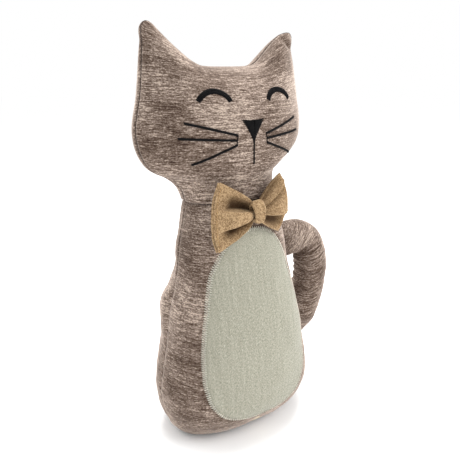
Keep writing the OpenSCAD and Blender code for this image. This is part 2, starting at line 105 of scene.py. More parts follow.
class CatColours(PropertyGroup):
    jersey_dark: colour("Jersey, dark streaks", "Dark yarns of the heather jersey", "#35261F")
    jersey_mid: colour("Jersey, body colour", "Main colour of the heather jersey", "#5F5045")
    jersey_pale: colour("Jersey, pale streaks", "Pale yarns of the heather jersey", "#BBAA9B")
    linen_pale: colour("Linen, pale yarns", "Pale yarns of the belly patch", "#A3A192")
    linen_green: colour("Linen, green yarns", "Grey-green yarns of the belly patch", "#747465")
    suedette: colour("Suedette", "Tan cloth of the bow tie", "#8E7557")
    suedette_dark: colour("Suedette, worn nap", "Darker nap of the bow tie", "#6C533A")
    embroidery: colour("Embroidery", "Black embroidery thread", "#060506")


def sizes():
    return bpy.context.scene.cat_sizes


def colours():
    return bpy.context.scene.cat_colours


def linear(code):
    """An sRGB hex value as the linear colour that shaders take."""
    parts = [int(code[i:i + 2], 16) / 255 for i in (1, 3, 5)]
    return (*[c / 12.92 if c <= 0.04045 else ((c + 0.055) / 1.055) ** 2.4 for c in parts], 1.0)


# ---------------------------------------------------------------- curves

def ease(t):
    c = min(1.0, max(0.0, t))
    return c * c * (3 - 2 * c)


def bell(x, middle, width):
    return math.exp(-((x - middle) / width) ** 2)


def through(knots, x):
    """Smooth value at x through (x, value) knots, without overshoot."""
    xs = [k[0] for k in knots]
    ys = [k[1] for k in knots]
    if x <= xs[0]:
        return ys[0]
    if x >= xs[-1]:
        return ys[-1]
    i = max(j for j in range(len(xs) - 1) if xs[j] <= x)
    h = xs[i + 1] - xs[i]
    t = (x - xs[i]) / h

    def slope(j):
        if j in (0, len(xs) - 1):
            k = min(j, len(xs) - 2)
            return (ys[k + 1] - ys[k]) / (xs[k + 1] - xs[k])
        a = (ys[j] - ys[j - 1]) / (xs[j] - xs[j - 1])
        b = (ys[j + 1] - ys[j]) / (xs[j + 1] - xs[j])
        return 0.0 if a * b <= 0 else 2 * a * b / (a + b)

    return (ys[i] * (2 * t ** 3 - 3 * t ** 2 + 1) + ys[i + 1] * (3 * t ** 2 - 2 * t ** 3)
            + h * slope(i) * (t ** 3 - 2 * t ** 2 + t) + h * slope(i + 1) * (t ** 3 - t ** 2))


class Path:
    """A polyline in millimetres, read by its share of length."""

    def __init__(self, points, smooth=0):
        p = np.array(points, float)
        for _ in range(smooth):
            q = np.empty((2 * len(p) - 2, p.shape[1]))
            q[0::2] = 0.75 * p[:-1] + 0.25 * p[1:]
            q[1::2] = 0.25 * p[:-1] + 0.75 * p[1:]
            p = np.vstack([p[:1], q, p[-1:]])
        self.p = p
        self.s = np.concatenate([[0], np.cumsum(np.linalg.norm(np.diff(p, axis=0), axis=1))])
        self.length = float(self.s[-1])

    def at(self, share):
        x = share * self.length
        return Vector([float(np.interp(x, self.s, self.p[:, k])) for k in range(self.p.shape[1])])

    def along(self, share, step=0.002):
        return (self.at(min(1, share + step)) - self.at(max(0, share - step))).normalized()


def rough(x, y, z, size, octaves=2):
    """Noise from about -1 to 1 with features of a size in millimetres."""
    return noise.fractal(Vector((x, y, z)) / size, 1.0, 2.0, octaves)


# ---------------------------------------------------------------- meshes

def finish_piece(bm, name, material, smooth=True):
    me = bpy.data.meshes.new(name)
    bm.to_mesh(me)
    bm.free()
    obj = bpy.data.objects.new(name, me)
    bpy.context.scene.collection.objects.link(obj)
    me.materials.append(material)
    if smooth:
        me.shade_smooth()
    return obj


def shaped_grid(cols, rows, place, wrap=False, fold=None):
    """A bmesh grid whose points are moved to place(s, t), in millimetres.
    Its UV map holds the flat cloth's metres: across from the middle, and up.
    fold(s, t), a weight of painted shade, is kept on each point, where it is given."""
    bm = bmesh.new()
    bmesh.ops.create_grid(bm, x_segments=cols, y_segments=rows, size=0.5)
    uv = bm.loops.layers.uv.new("flat")
    # The fold weight is painted shade, read by the suedette to darken its folds
    painted_shade_layer = bm.verts.layers.float.new("fold") if fold else None
    table, height = {}, {}
    for v in bm.verts:
        s, t = round((v.co.x + 0.5) * cols), round((v.co.y + 0.5) * rows)
        table[s, t] = v
    for (s, t), v in table.items():
        found = place(s / cols, t / rows)
        v.co = Vector(found[:3]) * MM
        if fold:
            v[painted_shade_layer] = fold(s / cols, t / rows)
        if len(found) > 3:
            height[s, t] = found[3] * MM
    across, up = {}, {}
    for t in range(rows + 1):
        length = 0.0
        for s in range(cols + 1):
            if s:
                length += (table[s, t].co - table[s - 1, t].co).length
            across[s, t] = length
        for s in range(cols + 1):
            across[s, t] -= length / 2
    for s in range(cols + 1):
        length = 0.0
        for t in range(rows + 1):
            if t:
                length += (table[s, t].co - table[s, t - 1].co).length
            up[s, t] = height.get((s, t), length)
    places = {v: key for key, v in table.items()}
    for f in bm.faces:
        for loop in f.loops:
            key = places[loop.vert]
            loop[uv].uv = (across[key], up[key])
    if wrap:
        bmesh.ops.remove_doubles(bm, verts=bm.verts, dist=1e-5)
    return bm


def half_grid(cols, rows, place, side):
    """The grid of a front half (side -1) or back half (side 1), with its faces outward."""
    bm = shaped_grid(cols, rows, place)
    if side > 0:
        bmesh.ops.reverse_faces(bm, faces=bm.faces)
    return bm


def whole_filling(cols, rows, place_of):
    """A closed bmesh from the front and back halves of a filling, joined at their seams."""
    bm, back = (half_grid(cols, rows, place_of(side), side) for side in (-1, 1))
    me = bpy.data.meshes.new("half")
    back.to_mesh(me)
    back.free()
    bm.from_mesh(me)
    bpy.data.meshes.remove(me)
    bmesh.ops.remove_doubles(bm, verts=bm.verts, dist=JOIN_WITHIN)
    close_up(bm)
    return bm


def close_up(bm):
    bmesh.ops.holes_fill(bm, edges=[e for e in bm.edges if e.is_boundary], sides=0)
    face_out(bm)


def thicken(obj, thickness):
    m = obj.modifiers.new("Cloth thickness", "SOLIDIFY")
    m.thickness, m.offset = thickness, -1.0
    m.use_even_offset = False


def face_out(bm):
    bmesh.ops.recalc_face_normals(bm, faces=bm.faces)


def add_stitch(bm, a, b, radius, sides=6, rings=5):
    """One stitch: a thread between two points in metres, plump in its middle."""
    d = b - a
    if d.length < 1e-6:
        return
    turn = d.to_track_quat("Z", "Y").to_matrix().to_4x4()
    size = Matrix.Diagonal((radius, radius, d.length / 2 + radius * 0.6, 1))
    bmesh.ops.create_uvsphere(bm, u_segments=sides, v_segments=rings, radius=1,
                              matrix=Matrix.Translation((a + b) / 2) @ turn @ size)


def add_stitches(bm, points, radius, gap=0.15):
    """Stitches end to end along points in metres; gap is the share of each left between two."""
    for a, b in zip(points[:-1], points[1:]):
        add_stitch(bm, a.lerp(b, gap / 2), b.lerp(a, gap / 2), radius)


def stitch_run(name, points, radius, material, gap=0.15):
    bm = bmesh.new()
    add_stitches(bm, points, radius, gap)
    return finish_piece(bm, name, material)


class Surface:
    """Finished pieces as one surface to lay thread and cloth on, from the front."""

    def __init__(self, *objs):
        graph = bpy.context.evaluated_depsgraph_get()
        points, faces = [], []
        for o in objs:
            me = o.evaluated_get(graph).to_mesh()
            n = len(points)
            points += [v.co.copy() for v in me.vertices]
            faces += [tuple(i + n for i in p.vertices) for p in me.polygons]
        self.tree = BVHTree.FromPolygons(points, faces)

    def lay(self, x, z, lift):
        """The point in front of (x, z) millimetres, lifted off the cloth, and the way out."""
        hit, normal, _, _ = self.tree.ray_cast(Vector((x * MM, -0.3, z * MM)), Vector((0, 1, 0)))
        if hit is None:
            raise RuntimeError(f"no cloth at {x:.0f}, {z:.0f} mm")
        if normal.y > 0:
            normal = -normal
        return hit + normal * lift * MM, normal


# ---------------------------------------------------------------- materials

def add(tree, kind, inputs=None, **settings):
    """Adds a node. Inputs are values, or (node, output) to link from."""
    node = tree.nodes.new(kind)
    for key, value in settings.items():
        setattr(node, key, value)
    for key, value in (inputs or {}).items():
        if isinstance(value, tuple) and isinstance(value[0], bpy.types.Node):
            tree.links.new(value[0].outputs[value[1]], node.inputs[key])
        else:
            node.inputs[key].default_value = value
    return node


def ramp(tree, source, *stops):
    node = add(tree, "ShaderNodeValToRGB", {"Fac": source})
    bar = node.color_ramp
    while len(bar.elements) < len(stops):
        bar.elements.new(0.5)
    for element, (at, value) in zip(bar.elements, stops):
        element.position = at
        element.color = value
    return node


def new_material(name):
    material = bpy.data.materials.new(name)
    material.use_nodes = True
    tree = material.node_tree
    tree.nodes.clear()
    return material, tree


def end_material(tree, shader):
    add(tree, "ShaderNodeOutputMaterial", {"Surface": (shader, "BSDF")})


def cloth_place(tree, flat, scale):
    """The flat cloth's own UV in metres, or Object coordinates, stretched to a pattern's scale."""
    source = (add(tree, "ShaderNodeUVMap", uv_map="flat"), "UV") if flat else (
        add(tree, "ShaderNodeTexCoord"), "Object")
    return add(tree, "ShaderNodeMapping", {"Vector": source, "Scale": scale})


def blotches(tree, size, detail, flat=False, **more):
    """Noise with features of a size in metres, or of a size along each axis."""
    scale = tuple(1 / x for x in size) if isinstance(size, tuple) else (1 / size,) * 3
    return add(tree, "ShaderNodeTexNoise", {
        "Vector": (cloth_place(tree, flat, scale), "Vector"), "Scale": 1.0, "Detail": detail, **more})


def heather_jersey(flat=True):
    # Brushed cotton jersey from melange yarn: pale and dark fibres drawn out along the courses,
    # matt, with a pale fuzz at grazing angles.
    c = colours()
    material, tree = new_material("Brushed heather jersey" + ("" if flat else ", end grain"))

    def streak(long, tall, detail, seed):
        wide, high = 1 / (long * MM), 1 / (tall * MM)
        place = cloth_place(tree, flat, (wide, high, wide) if flat else (wide, wide, high))
        return add(tree, "ShaderNodeTexNoise", {"Vector": (place, "Vector"), "Scale": 1.0, "Detail": detail,
                                                "Roughness": 0.6, "Distortion": 0.25, "W": seed},
                   noise_dimensions="4D")

    # Streaks of 15 by 1.1 mm, finer ones of 5.5 by 0.7 mm, single fibres, and slow random changes of shade
    # some 1 to 6 cm across
    broad = streak(15.0, 1.1, 3.0, 1.3)
    fine = streak(5.5, 0.7, 2.0, 4.1)
    fibre = streak(1.6, 0.9, 1.0, 9.3)
    cloudy = streak(60.0, 13.0, 2.0, 7.7)
    patchy = streak(46.0, 38.0, 1.0, 2.2)
    mix = add(tree, "ShaderNodeMath", {0: (broad, "Fac"), 1: 0.27}, operation="MULTIPLY")
    for part, share in ((fine, 0.26), (fibre, 0.24), (cloudy, 0.10), (patchy, 0.13)):
        mix = add(tree, "ShaderNodeMath", {0: (part, "Fac"), 1: share, 2: (mix, "Value")},
                  operation="MULTIPLY_ADD")
    tint = ramp(tree, (mix, "Value"), (0.42, linear(c.jersey_dark)), (0.48, linear(c.jersey_mid)),
                (0.52, linear("#786960")), (0.585, linear(c.jersey_pale)))
    bump = add(tree, "ShaderNodeBump", {"Strength": 0.35, "Distance": 0.0006, "Height": (mix, "Value")})
    shader = add(tree, "ShaderNodeBsdfPrincipled", {
        "Base Color": (tint, "Color"), "Roughness": 0.95, "Specular IOR Level": 0.15,
        "Sheen Weight": 0.7, "Sheen Roughness": 0.35, "Sheen Tint": linear("#E8D8CC"),
        "Normal": (bump, "Normal")})
    end_material(tree, shader)
    return material


def melange_linen():
    # Plain-woven linen blend: pale and grey-green yarns, uneven in thickness, with brown flecks. The real
    # yarns are 0.5 mm apart; the noise is about their size, drawn out along each yarn.
    c = colours()
    material, tree = new_material("Melange linen")

    def yarns(across, along, detail=2.0):
        return blotches(tree, (across * MM, along * MM, 1), detail, flat=True, Roughness=0.65)

    warp, weft, slub, fleck = yarns(0.6, 2.0), yarns(1.8, 0.6), yarns(2.4, 40.0), yarns(0.9, 0.8, 3.0)
    both = add(tree, "ShaderNodeMath", {0: (warp, "Fac"), 1: 0.36}, operation="MULTIPLY")
    for part, share in ((weft, 0.32), (slub, 0.10), (fleck, 0.22)):
        both = add(tree, "ShaderNodeMath", {0: (part, "Fac"), 1: share, 2: (both, "Value")},
                   operation="MULTIPLY_ADD")
    yarn = ramp(tree, (both, "Value"), (0.43, linear(c.linen_green)), (0.5, linear("#949284")),
                (0.565, linear(c.linen_pale)), (0.63, linear("#BDBCB0")))
    brown = ramp(tree, (fleck, "Fac"), (0.62, (0, 0, 0, 1)), (0.72, (0.8, 0.8, 0.8, 1)))
    tint = add(tree, "ShaderNodeMix", {"Factor": (brown, "Color"), 6: (yarn, "Color"), 7: linear("#9A8266")},
               data_type="RGBA")
    bump = add(tree, "ShaderNodeBump", {"Strength": 0.4, "Distance": 0.0004, "Height": (both, "Value")})
    shader = add(tree, "ShaderNodeBsdfPrincipled", {
        "Base Color": (tint, 2), "Roughness": 0.9, "Specular IOR Level": 0.2,
        "Sheen Weight": 0.2, "Sheen Roughness": 0.5, "Normal": (bump, "Normal")})
    end_material(tree, shader)
    return material


def tan_suedette():
    # Brushed microfibre suedette: a short nap that lies light and dark in patches, and painted shade that
    # darkens it in the folds.
    c = colours()
    material, tree = new_material("Tan suedette")
    nap = blotches(tree, 0.0018, 4.0, Roughness=0.65)
    grit = blotches(tree, 0.0009, 2.0, Roughness=0.6)
    mix = add(tree, "ShaderNodeMath", {0: (grit, "Fac"), 1: 0.8, 2: (nap, "Fac")}, operation="MULTIPLY_ADD")
    tint = ramp(tree, (mix, "Value"), (0.66, linear(c.suedette_dark)), (0.9, linear(c.suedette)),
                (1.0, linear("#A98F6D")))
    # Painted shade: the fold weight mixes the cloth toward dark brown in the bow's folds
    fold = add(tree, "ShaderNodeAttribute", attribute_name="fold")
    tint = add(tree, "ShaderNodeMix", {"Factor": (fold, "Fac"), 6: (tint, "Color"), 7: linear("#34200F")},
               data_type="RGBA")
    bump = add(tree, "ShaderNodeBump", {"Strength": 0.45, "Distance": 0.0005, "Height": (grit, "Fac")})
    shader = add(tree, "ShaderNodeBsdfPrincipled", {
        "Base Color": (tint, 2), "Roughness": 0.92, "Specular IOR Level": 0.15,
        "Sheen Weight": 0.3, "Sheen Roughness": 0.4, "Sheen Tint": linear("#F0DDBB"),
        "Normal": (bump, "Normal")})
    end_material(tree, shader)
    return material


def thread(name, code, roughness=0.7, sheen=0.2, spread=0.25, gloss=0.4):
    # Spun polyester thread: a slight gloss along the twist, a little uneven in colour.
    material, tree = new_material(name)
    uneven = blotches(tree, 0.0015, 2.0)
    base = linear(code)
    low = tuple(x * (1 - spread) for x in base[:3]) + (1,)
    high = tuple(min(1, x * (1 + spread)) for x in base[:3]) + (1,)
    tint = ramp(tree, (uneven, "Fac"), (0.35, low), (0.65, high))
    bump = add(tree, "ShaderNodeBump", {"Strength": 0.2, "Distance": 0.0002, "Height": (uneven, "Fac")})
    shader = add(tree, "ShaderNodeBsdfPrincipled", {
        "Base Color": (tint, "Color"), "Roughness": roughness, "Specular IOR Level": gloss,
        "Sheen Weight": sheen, "Normal": (bump, "Normal")})
    end_material(tree, shader)
    return material


def soft_fill(name, pale, dark, size, roughness=1.0):
    # Inner material: loose fibre, calico or gravel, seen only where the cover is opened.
    material, tree = new_material(name)
    lumps = blotches(tree, size * MM, 3.0)
    tint = ramp(tree, (lumps, "Fac"), (0.35, linear(dark)), (0.65, linear(pale)))
    bump = add(tree, "ShaderNodeBump", {"Strength": 0.5, "Distance": size * MM / 4, "Height": (lumps, "Fac")})
    shader = add(tree, "ShaderNodeBsdfPrincipled", {
        "Base Color": (tint, "Color"), "Roughness": roughness, "Normal": (bump, "Normal")})
    end_material(tree, shader)
    return material


@lru_cache(maxsize=None)
def finish_of(name):
    c = colours()
    return {
        "jersey": heather_jersey,
        "base jersey": lambda: heather_jersey(flat=False),
        "linen": melange_linen,
        "suedette": tan_suedette,
        "brown thread": lambda: thread("Brown sewing thread", "#3E3029", gloss=0.2),
        "linen thread": lambda: thread("Pale green melange thread", "#DAD8C9", spread=0.3),
        "tan thread": lambda: thread("Tan sewing thread", "#A27F4E"),
        "black thread": lambda: thread("Black embroidery thread", c.embroidery, 0.75, 0.0, 0.5, 0.12),
        "fibre": lambda: soft_fill("Polyester fibrefill", "#F5F4F0", "#DEDCD4", 5),
        "calico": lambda: soft_fill("Calico", "#DCD1B8", "#C8BB9E", 1.2),
        "gravel": lambda: soft_fill("Fine gravel", "#A79E8C", "#6E665A", 3),
    }[name]()


# ---------------------------------------------------------------- the cat's outlines, millimetres

NECK = 233.0
SIDE_WIDTH = [(50, 81.4), (64, 79.0), (92, 73.2), (133, 64.6), (149, 60.8), (169, 57), (197, 52.4),
              (220, 46.8), (233, 43.6)]
# Squareness of the body's section: 2 is an ellipse
SQUARE_FRONT = [(0, 2.3), (60, 2.15), (150, 2.3), (233, 2.35)]
SQUARE_BACK = [(0, 2.3), (60, 2.2), (130, 2.25), (165, 1.95), (210, 1.95), (233, 2.15)]
FRONT_DEPTH = [(50, 62.5), (64, 64), (95, 63.5), (130, 59), (160, 51.5), (185, 47), (210, 42.5), (233, 39.4)]
BACK_DEPTH = [(50, 59.5), (64, 61), (95, 60.5), (130, 56.5), (160, 50), (185, 45.5), (210, 40.5), (233, 36.2)]
BASE_HALF = (61.0, 31.0)
BASE_SQUARE = 0.8

# The patch's half width at each height
PATCH = [(28, 0), (28.6, 14), (30.5, 24), (35, 36.5), (42, 45), (55, 52), (75, 55), (98, 54), (127, 50),
         (152, 44.5), (172, 39), (185, 33.2), (197, 25.5), (204, 17.5), (207.8, 9), (209, 0)]


def patch_edge(z):
    low, top = sizes().patch_low / MM, sizes().patch_top / MM
    return through(PATCH, 28 + (z - low) / (top - low) * 181)


def body_half(z, side):
    """Half width and depth of the body at a height."""
    wide, deep = SIDE_WIDTH, FRONT_DEPTH if side < 0 else BACK_DEPTH
    if z >= 50:
        return through(wide, z), through(deep, z)
    out = max(0.0, 1 - (1 - z / 50) ** 2)
    # The front tucks in under the belly more slowly than the back
    tuck = out ** (0.92 if side < 0 else 0.5)
    return (BASE_HALF[0] + (wide[0][1] - BASE_HALF[0]) * math.sqrt(out),
            BASE_HALF[1] + (deep[0][1] - BASE_HALF[1]) * tuck)


def base_rim(angle, more_x, more_y):
    """A point of the base's oval rim, made wider and deeper by a little."""
    c, s = math.cos(angle), math.sin(angle)
    return (math.copysign(abs(c) ** BASE_SQUARE, c) * (BASE_HALF[0] + more_x),
            math.copysign(abs(s) ** BASE_SQUARE, s) * (BASE_HALF[1] + more_y))


@lru_cache(maxsize=None)
def body_row(z, side, inset):
    """One level of the body's cloth, from the right side seam to the left one."""
    a, b = body_half(z, side)
    groove = sizes().groove / MM
    near_neck = 1.8 * math.exp(-(NECK - z) / 4.0)
    power = 2 / through(SQUARE_FRONT if side < 0 else SQUARE_BACK, z)
    points = []
    for k in range(181):
        angle = math.radians(-90 + k)
        s, c = math.sin(angle), math.cos(angle)
        x = (a - near_neck - inset) * math.copysign(abs(s) ** power, s)
        y = (b - near_neck - inset) * abs(c) ** power
        # The side seam draws the cloth in, in small puckers
        pull = math.exp(-y / 4.5)
        pucker = 0.9 * rough(0, side * 9, z, 9, 2) * math.exp(-((y - 5) / 7) ** 2)
        x -= math.copysign(min(1, z / 20) * groove * pull - pucker, s)
        # A soft fold above the cat's right hip, behind the seam
        right = ease(-s * 2.2 - 0.7) * (ease(y / 10) if side > 0 else 0.25)
        x += right * (2.6 * bell(z, 172, 12) + 1.8 * bell(z, 205, 20)
                      - 5.0 * bell(z, 131, 14) - 1.6 * bell(z, 110, 10))
        y *= 1 + 0.012 * rough(x, 30 * side, z, 38, 2)
        if side < 0 and not inset and c > 0:
            # The zigzag draws the jersey in along the edge of the patch
            low, top = sizes().patch_low / MM, sizes().patch_top / MM
            if low < z < top:
                y -= 1.1 * bell(abs(x), patch_edge(z) + 1.2, 2.0)
        points.append((x, side * (0.12 + y)))
    return Path(points)


def body_cloth(side, inset=0.0):
    def place(s, t):
        z = 1.2 + (NECK - 1.2) * t ** 1.45
        p = body_row(z, side, inset).at(s)
        n = Vector((p.x / 80, p.y / 50, 0)).normalized()
        # Soft lumps of filling, and gathers under the neck seam
        swell = 0.9 * rough(p.x, p.y, z, 30, 2) + 0.35 * rough(p.x, p.y, z, 11, 2)
        gather = 1.3 * math.exp(-(NECK - z) / 7.0) * rough(math.atan2(p.x, p.y) * 44, 5, z * 0.25, 7, 2)
        edge = ease(min(s, 1 - s) * 14) * ease(t * 12)
        fade = ease((1 - t) * 30)
        out = n * (swell * edge * fade + gather * edge * ease((1 - t) * 60))
        return (p.x + out.x, p.y + out.y, z, z)
    return place


# The head's seam from the neck up each side, and over the top from ear to ear. The cat's left jaw is
# stuffed a little higher than its right one, and the left ear's tip is folded over.
HEAD_SIDE = {
    -1: Path([(-44.2, 233), (-45.4, 238), (-47.6, 243.5), (-52, 249), (-60.5, 255.5), (-69.5, 259.5),
              (-76.5, 264.5), (-81, 271), (-84.6, 279.5), (-86.3, 288), (-86.6, 298), (-85, 307), (-80.8, 322),
              (-78, 340), (-76.2, 356), (-74.8, 368), (-75.4, 377.5), (-73, 382.6)], 2),
    1: Path([(44.2, 233), (45, 238), (46.4, 244), (49, 251), (53, 257), (58.5, 262.5), (66, 266.5),
             (74.5, 272), (80.6, 278.5), (83.6, 287), (84.2, 298), (82.6, 307), (80, 322), (77.6, 340),
             (75.6, 354), (73.6, 362), (75, 368), (75.6, 373), (74.2, 377.6)], 2)}
HEAD_TOP = Path([(-73, 382.6), (-70, 383.6), (-66, 382.2), (-60, 376), (-51, 366.6), (-40.5, 357.2),
                 (-34, 352.6), (-27, 349.2), (-18, 348.2), (0, 348), (18, 348.2), (27, 349), (34, 352),
                 (41, 358.6), (51.5, 369), (58.3, 374.4), (64, 377.2), (70, 378.6), (74.2, 377.6)], 1)
HEAD_FRONT = [(0, 38.6), (0.1, 38.2), (0.22, 40), (0.4, 45.5), (0.7, 47.6), (1, 46)]
HEAD_BACK = [(0, 36), (0.1, 39.5), (0.22, 43), (0.4, 45), (0.7, 45), (1, 43.5)]


def head_cloth(side, inset=0.0):
    def place(s, t):
        u = -math.cos(math.pi * s)
        v = 1 - (1 - t) ** 1.5
        top_at = HEAD_TOP.at((u + 1) / 2)
        low = Vector((44.2 * u, NECK))
        a, b = (1 - u) / 2, (1 + u) / 2
        left, right = HEAD_SIDE[-1].at(v), HEAD_SIDE[1].at(v)
        corner = (a * ((1 - v) * HEAD_SIDE[-1].at(0) + v * HEAD_TOP.at(0))
                  + b * ((1 - v) * HEAD_SIDE[1].at(0) + v * HEAD_TOP.at(1)))
        p = (1 - v) * low + v * top_at + a * left + b * right - corner
        h = ease(v / 0.16)
        # The face is flatter across towards its seam than the back of the head
        power, root = 2.3 - 0.3 * h, (0.44 + 0.34 * h if side < 0 else 0.44 - 0.03 * h)
        depth = through(HEAD_FRONT if side < 0 else HEAD_BACK, v)
        crown = math.sqrt(max(0.0, 1 - v ** 6))
        across = (1 - min(1, abs(u)) ** power) ** root
        full = across * crown
        y = (depth - inset) * full
        x, z = p.x, p.y
        if inset:
            x *= 1 - inset / 42
            z -= inset * 1.5 * (z - 300) / 70 * ease(v * 6)
        edge = ease(min(s, 1 - s) * 12) * ease((1 - t) * 9)
        swell = 1.0 * rough(x, 60 * side, z, 32, 2) + 0.35 * rough(x, 60 * side, z, 12, 2)
        near_neck = 2.0 * math.exp(-(z - NECK) / 3.5) * ease((1 - abs(u)) * 10)
        gather = 1.2 * math.exp(-(z - NECK) / 8.0) * rough(x, 90 * side, z * 0.25, 7, 2) * ease(t * 40)
        y += (swell * edge + gather * edge - near_neck) * ease(full * 3)
        # Each ear's tip is a small knob above a pinched crease
        tip = math.hypot(x + 70.5, z - 380.5) if x < 0 else math.hypot(x - 71, (z - 374) * 1.25)
        y += (2.8 * bell(tip, 4, 4.5) - 2.6 * bell(tip, 12, 3)) * ease(full * 4)
        if not inset:
            # The seam draws in all round
            drawn = 1.2 * math.exp(-(y / 1.7) ** 2) * ease(v * 12)
            way = Vector((x, z - 300)).normalized()
            x, z = x - way.x * drawn, z - way.y * drawn
        # Small puckers run in from the seam
        rim = max(0.0, 1 - full / 0.42)
        y += 0.8 * rim * full ** 0.3 * rough(x * 1.2, 70 * side, z * 1.2, 8, 1)
        return (x, side * (0.12 + y), z, z + 0.8 * depth * across * (1 - crown))
    return place


# ---------------------------------------------------------------- operators

made = {}


def keep(obj, node, body=None, fold=False):
    """Shows a piece in place of a CAD node: on its body, or with its place baked into its mesh."""
    made[node] = obj
    if fold:
        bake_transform(obj)
    else:
        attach(obj, body)
    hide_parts(node)
    return obj


class CAT_OT_head(Operator):
    """Face panel, back panel and filling of the head"""
    bl_idname = "cat.head"
    bl_label = "Head"

    def execute(self, context):
        for side, name in ((-1, "face_panel"), (1, "head_back_panel")):
            bm = half_grid(120, 110, head_cloth(side), side)
            obj = finish_piece(bm, name + "_cloth", finish_of("jersey"))
            thicken(obj, sizes().cloth)
            keep(obj, name, "head")
        bm = whole_filling(40, 36, lambda side: head_cloth(side, HEAD_FILL))
        obj = finish_piece(bm, "head_fibrefill", finish_of("fibre"))
        keep(obj, "head_filling", "head")
        return {"FINISHED"}


class CAT_OT_body(Operator):
    """Front panel, back panel and filling of the body"""
    bl_idname = "cat.body"
    bl_label = "Body"

    def execute(self, context):
        for side, name in ((-1, "body_front_panel"), (1, "body_back_panel")):
            bm = half_grid(130, 150, body_cloth(side), side)
            obj = finish_piece(bm, name + "_cloth", finish_of("jersey"))
            thicken(obj, sizes().cloth)
            keep(obj, name, fold=True)
        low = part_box("weight_pouch")[1].z / MM + 1

        def shell(side):
            whole = body_cloth(side, BODY_FILL)

            def place(s, t):
                z0 = (low - 1.2) / (NECK - 1.2 - 1)
                return whole(s, (z0 + (1 - z0) * t) ** (1 / 1.45) * 0.998)[:3]
            return place
        bm = whole_filling(44, 40, shell)
        obj = finish_piece(bm, "body_fibrefill", finish_of("fibre"))
        keep(obj, "body_filling", fold=True)
        return {"FINISHED"}


class CAT_OT_base(Operator):
    """Base panel and the stitches round it"""
    bl_idname = "cat.base"
    bl_label = "Base"

    def execute(self, context):
        def place(s, t):
            # A square of cloth drawn to the base's oval
            x, y = 2 * s - 1, 2 * t - 1
            u, v = x * math.sqrt(1 - y * y / 2), y * math.sqrt(1 - x * x / 2)
            r = min(1.0, math.hypot(u, v))
            a = math.atan2(v, u)
            px, py = (k * r for k in base_rim(a, -0.6, -0.6))
            z = 0.05 + 1.3 * max(0, (r - 0.93) / 0.07) ** 2 + 0.25 * (1 + rough(px, py, 0, 24)) * (1 - r)
            return (px, py, z)
        bm = shaped_grid(64, 40, place)
        bmesh.ops.reverse_faces(bm, faces=bm.faces)
        obj = finish_piece(bm, "base_panel_cloth", finish_of("base jersey"))
        thicken(obj, sizes().cloth)
        keep(obj, "base_panel", "torso")
        rim = []
        for k in range(132):
            rim.append(Vector((*base_rim(2 * math.pi * k / 132, -0.1, 0.1), 1.1)) * MM)
        obj = stitch_run("base_seam_stitches", rim + rim[:1], RIM_THREAD * MM, finish_of("brown thread"))
        keep(obj, "base_seam_thread", "torso")
        return {"FINISHED"}


class CAT_OT_seams(Operator):
    """Stitches in the head seam, the side seams and the neck seam"""
    bl_idname = "cat.seams"
    bl_label = "Seams"

    def execute(self, context):
        place = head_cloth(-1)
        edge = ([place(0, k / 60) for k in range(60)] + [place(k / 90, 1) for k in range(91)]
                + [place(1, 1 - k / 60) for k in range(1, 61)])
        line = Path([(p[0], p[2]) for p in edge])
        n = round(line.length / SEAM_PITCH)
        points = [Vector((p.x * 1.003, 0, p.y + 0.2)) * MM for p in (line.at(k / n) for k in range(n + 1))]
        keep(stitch_run("head_seam_stitches", points, HEAD_THREAD * MM, finish_of("brown thread")),
             "head_seam_thread", "head")
        bm = bmesh.new()
        for side in (-1, 1):
            seam = [body_cloth(-1)(0 if side < 0 else 1, k / 88) for k in range(89)]
            line = Path([(p[0], p[2]) for p in seam])
            n = round(line.length / SEAM_PITCH)
            spots = [Vector((line.at(k / n).x - side * 0.45, 0, line.at(k / n).y)) * MM for k in range(n + 1)]
            add_stitches(bm, spots, SIDE_THREAD * MM, 0.2)
        keep(finish_piece(bm, "side_seam_stitches", finish_of("brown thread")),
             "body_side_seam_threads", fold=True)
        ring = []
        for side, order in ((-1, 1), (1, -1)):
            row = body_row(NECK, side, 0.0)
            for k in range(46):
                p = row.at(k / 46 if order > 0 else 1 - k / 46)
                ring.append(Vector((p.x * 1.008, p.y * 1.008, NECK)) * MM)
        keep(stitch_run("neck_seam_stitches", ring + ring[:1], NECK_THREAD * MM, finish_of("brown thread")),
             "neck_seam_thread", fold=True)
        return {"FINISHED"}


class CAT_OT_patch(Operator):
    """Belly patch and its zigzag edge"""
    bl_idname = "cat.patch"
    bl_label = "Belly patch"

    def execute(self, context):
        low, top = sizes().patch_low / MM, sizes().patch_top / MM
        cloth = Surface(made["body_front_panel"])

        def place(s, t):
            z = (low + top) / 2 - (top - low) / 2 * math.cos(math.pi * t)
            x = (2 * s - 1) * patch_edge(z)
            p, _ = cloth.lay(x, z, 1.1 - 0.7 * max(0, abs(2 * s - 1) - 0.94) / 0.06)
            return p / MM
        bm = shaped_grid(72, 110, place)
        bmesh.ops.remove_doubles(bm, verts=bm.verts, dist=2e-5)
        obj = finish_piece(bm, "belly_patch_cloth", finish_of("linen"))
        thicken(obj, LINEN * MM)
        keep(obj, "belly_patch", fold=True)
        heights = [(low + top) / 2 - (top - low) / 2 * math.cos(math.pi * k / 160) for k in range(161)]
        right = [(patch_edge(z), z) for z in heights]
        line = Path(right + [(-x, z) for x, z in reversed(right[:-1])])
        both = Surface(made["body_front_panel"], obj)
        n = 2 * round(line.length * MM / sizes().zigzag)
        spots = []
        for k in range(n):
            p, d = line.at(k / n), line.along(k / n)
            out = Vector((d.y, -d.x)) * (ZIGZAG_OUT if k % 2 else ZIGZAG_IN)
            spots.append(both.lay(p.x + out.x, p.y + out.y, 0.45)[0])
        keep(stitch_run("belly_patch_zigzag", spots + spots[:1], ZIGZAG_THREAD * MM, finish_of("linen thread"),
                        gap=0),
             "belly_patch_stitching", fold=True)
        return {"FINISHED"}


